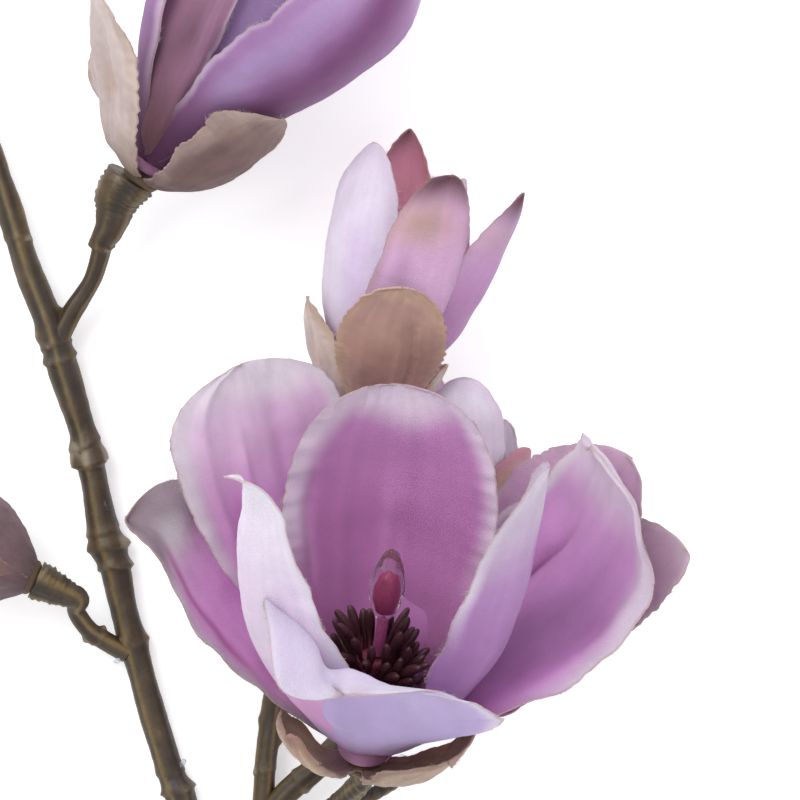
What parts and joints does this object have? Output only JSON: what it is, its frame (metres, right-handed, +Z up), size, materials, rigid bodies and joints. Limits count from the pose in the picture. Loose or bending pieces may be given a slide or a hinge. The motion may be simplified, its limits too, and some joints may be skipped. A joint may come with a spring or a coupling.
{
  "type": "saucer magnolia branch",
  "caption": "Forked woody branch with a wide open cup-shaped bloom, a long goblet bloom and closed buds, lying on its side for floral display.",
  "frame": {"origin": "centre of the bounding box on the surface that the branch lies on", "axes": "+Z up from the surface, +Y along the branch from the cut end to the tip, +X to the side of the open bloom"},
  "size_m": [0.1918, 0.4086, 0.115],
  "materials": {
    "bark": "moulded olive-brown twig with ring scars, dull",
    "tepal_lilac": "woven petal cloth, lilac fading to a pale rim",
    "tepal_mauve": "woven petal cloth, deep mauve streaks",
    "tepal_pale": "woven petal cloth, nearly white with pink and brown tips",
    "sepal_tan": "woven petal cloth, tan-brown",
    "sepal_beige": "woven petal cloth, beige with a mauve flush",
    "sepal_plum": "woven petal cloth, brown-mauve",
    "stamen_plum": "dark purple-brown, satin",
    "pistil_magenta": "clear drop with a magenta core"
  },
  "bodies": {
    "root": {"branch": "bark", "open_bloom_tepals": "tepal_lilac", "open_bloom_sepals": "sepal_tan", "open_bloom_stamens": "stamen_plum", "open_bloom_pistil": "pistil_magenta", "long_bloom_tepals": "tepal_mauve", "long_bloom_sepals": "sepal_beige", "upright_bud_tepals": "tepal_pale", "upright_bud_sepals": "sepal_beige", "rear_bud_tepals": "tepal_pale", "rear_bud_sepals": "sepal_tan", "side_bud_tepals": "tepal_mauve", "side_bud_sepals": "sepal_plum", "tip_bud_tepals": "sepal_plum"}
  },
  "joints": []
}
